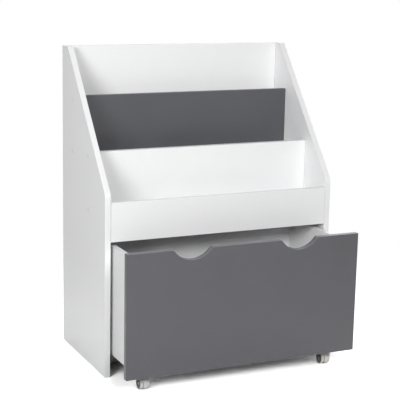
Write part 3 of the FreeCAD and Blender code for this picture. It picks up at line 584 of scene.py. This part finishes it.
# Studio: a pale floor that turns white away from the shelf and carries painted shadow near it, a dim white room, and
# three round soft boxes: one in front, one low on the left and one behind.
FLOOR_REACH = 14.0
FLOOR_BOUNCE, FLOOR_BRIGHT = 0.5, 1.9
SHADE_REACH, SHADE_EDGE = 0.3, 0.1
FADE_START, FADE_END = 0.6, 1.3
ROOM_LIGHT = 0.12
LAMP_AIM = Vector((0, -0.1, 0.4))
LAMPS = (("front_soft_box", (-0.13, -3.77, 2.44), 1.3, 83),
         ("left_soft_box", (-2.25, -1.8, 1.43), 1.2, 51),
         ("rear_soft_box", (2.07, 2.37, 3.1), 2.0, 92))


def looked_at(tree):
    """1 for what the camera or a reflection shows, 0 for what only sheds light."""
    path = put(tree, "ShaderNodeLightPath")
    return put(tree, "ShaderNodeMath", {0: path.outputs["Is Camera Ray"], 1: path.outputs["Is Glossy Ray"]},
               operation="MAXIMUM").outputs[0]


floor_mesh = bpy.data.meshes.new("floor")
floor_mesh.from_pydata([(x * FLOOR_REACH, y * FLOOR_REACH, 0) for x, y in ((-1, -1), (1, -1), (1, 1), (-1, 1))], [],
                       [(0, 1, 2, 3)])
floor = bpy.data.objects.new("floor", floor_mesh)
bpy.context.collection.objects.link(floor)
floor_paint = bpy.data.materials.new("floor_paint")
floor_paint.use_nodes = True
tree = floor_paint.node_tree
tree.nodes.remove(tree.nodes["Principled BSDF"])
seen = looked_at(tree)
# Painted shadow: ambient occlusion darkens the floor's colour, as the camera and reflections see it, near and under
# the shelf.
painted_shadow_ao = put(tree, "ShaderNodeAmbientOcclusion", {"Distance": SHADE_REACH}, samples=16)
bright = put(tree, "ShaderNodeMapRange", {
    "Value": painted_shadow_ao.outputs["AO"], "From Max": SHADE_EDGE, "To Max": FLOOR_BRIGHT})
paint = put(tree, "ShaderNodeMapRange", {"Value": seen, "To Min": FLOOR_BOUNCE, "To Max": bright.outputs["Result"]})
matte = put(tree, "ShaderNodeBsdfDiffuse", {"Color": paint.outputs["Result"]})
away = put(tree, "ShaderNodeVectorMath", {0: put(tree, "ShaderNodeTexCoord").outputs["Object"]}, operation="LENGTH")
fade = put(tree, "ShaderNodeMapRange", {"Value": away.outputs["Value"], "From Min": FADE_START, "From Max": FADE_END},
           interpolation_type="SMOOTHSTEP")
white = put(tree, "ShaderNodeMath", {0: seen, 1: fade.outputs["Result"]}, operation="MULTIPLY")
paper = put(tree, "ShaderNodeEmission", {"Strength": 1.0})
ground = put(tree, "ShaderNodeMixShader", {0: white.outputs[0], 1: matte.outputs[0], 2: paper.outputs[0]})
tree.links.new(ground.outputs[0], tree.nodes["Material Output"].inputs["Surface"])
floor_mesh.materials.append(floor_paint)

world = bpy.data.worlds.new("studio")
bpy.context.scene.world = world
world.use_nodes = True
tree = world.node_tree
sky = tree.nodes["Background"]
sky.inputs["Color"].default_value = (1, 1, 1, 1)
strength = put(tree, "ShaderNodeMapRange", {"Value": looked_at(tree), "To Min": ROOM_LIGHT, "To Max": 1.0})
tree.links.new(strength.outputs["Result"], sky.inputs["Strength"])

for name, place, diameter, watts in LAMPS:
    lamp = bpy.data.lights.new(name, "AREA")
    lamp.shape = "DISK"
    lamp.size = diameter
    lamp.energy = watts
    box = bpy.data.objects.new(name, lamp)
    bpy.context.collection.objects.link(box)
    box.visible_camera = False
    box.location = place
    box.rotation_euler = (LAMP_AIM - box.location).to_track_quat("-Z", "Y").to_euler()

# Camera: a long lens above the shelf and to its left, where the photograph was taken from. Its place, turn and focal
# length were worked out from the straight edges of the shelf.
YAW, PITCH, ROLL = math.radians(24.8), math.radians(12.11), math.radians(1.17)
CAMERA_PLACE = Vector((-1296.45, -2759.55, 1068.09)) * MM
FOCAL_LENGTH, SENSOR_WIDTH = 108.05, 36
forward = Vector((math.sin(YAW) * math.cos(PITCH), math.cos(YAW) * math.cos(PITCH), -math.sin(PITCH)))
right = Vector((math.cos(YAW), -math.sin(YAW), 0))
up = right.cross(forward)
across = right * math.cos(ROLL) + up * math.sin(ROLL)
upright = up * math.cos(ROLL) - right * math.sin(ROLL)
lens = bpy.data.cameras.new("photo")
lens.sensor_width = SENSOR_WIDTH
lens.lens = FOCAL_LENGTH
camera = bpy.data.objects.new("photo", lens)
bpy.context.collection.objects.link(camera)
stand = Matrix((across, upright, -forward)).transposed().to_4x4()
stand.translation = CAMERA_PLACE
camera.matrix_world = stand
bpy.context.scene.camera = camera
bpy.context.scene.view_settings.view_transform = "Standard"
